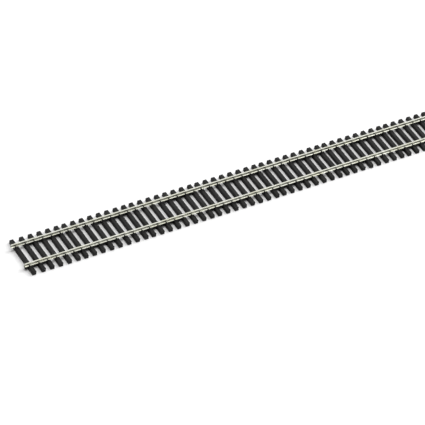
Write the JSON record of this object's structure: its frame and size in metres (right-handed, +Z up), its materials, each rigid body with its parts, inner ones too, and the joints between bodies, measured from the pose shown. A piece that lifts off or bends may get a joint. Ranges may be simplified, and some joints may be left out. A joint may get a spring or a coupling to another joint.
{
  "type": "model railway track section",
  "caption": "Straight length of flexible two-rail model railway track: flat-bottomed metal rails that slide in a dark moulded sleeper base.",
  "frame": {"origin": "centre of the track's length and width, at the level of the sleepers' undersides", "axes": "+X along the track from the end with the wide first gap, +Y to the left rail, +Z up from the underside to the rail tops"},
  "size_m": [0.9144, 0.03, 0.0046],
  "materials": {
    "rail_metal": "drawn nickel silver, bright and slightly yellow-grey",
    "sleeper_plastic": "black-brown moulded plastic with a fine wood grain"
  },
  "bodies": {
    "sleeper_base": {"sleeper_section_01": "sleeper_plastic", "sleeper_section_02": "sleeper_plastic", "sleeper_section_03": "sleeper_plastic", "sleeper_section_04": "sleeper_plastic", "sleeper_section_05": "sleeper_plastic", "sleeper_section_06": "sleeper_plastic", "sleeper_section_07": "sleeper_plastic", "sleeper_section_08": "sleeper_plastic", "sleeper_section_09": "sleeper_plastic", "sleeper_section_10": "sleeper_plastic", "sleeper_section_11": "sleeper_plastic", "sleeper_section_12": "sleeper_plastic", "sleeper_section_13": "sleeper_plastic", "sleeper_section_14": "sleeper_plastic", "sleeper_section_15": "sleeper_plastic", "sleeper_section_16": "sleeper_plastic", "sleeper_section_17": "sleeper_plastic", "sleeper_section_18": "sleeper_plastic", "sleeper_section_19": "sleeper_plastic", "sleeper_section_20": "sleeper_plastic", "sleeper_section_21": "sleeper_plastic"},
    "left_rail_bar": {"left_rail": "rail_metal"},
    "right_rail_bar": {"right_rail": "rail_metal"}
  },
  "joints": [
    {"name": "left_rail_slide", "type": "slide", "parent": "sleeper_base", "child": "left_rail_bar", "axis": [1, 0, 0], "range_m": [-0.026, 0.026]},
    {"name": "right_rail_slide", "type": "slide", "parent": "sleeper_base", "child": "right_rail_bar", "axis": [1, 0, 0], "range_m": [-0.026, 0.026]}
  ]
}
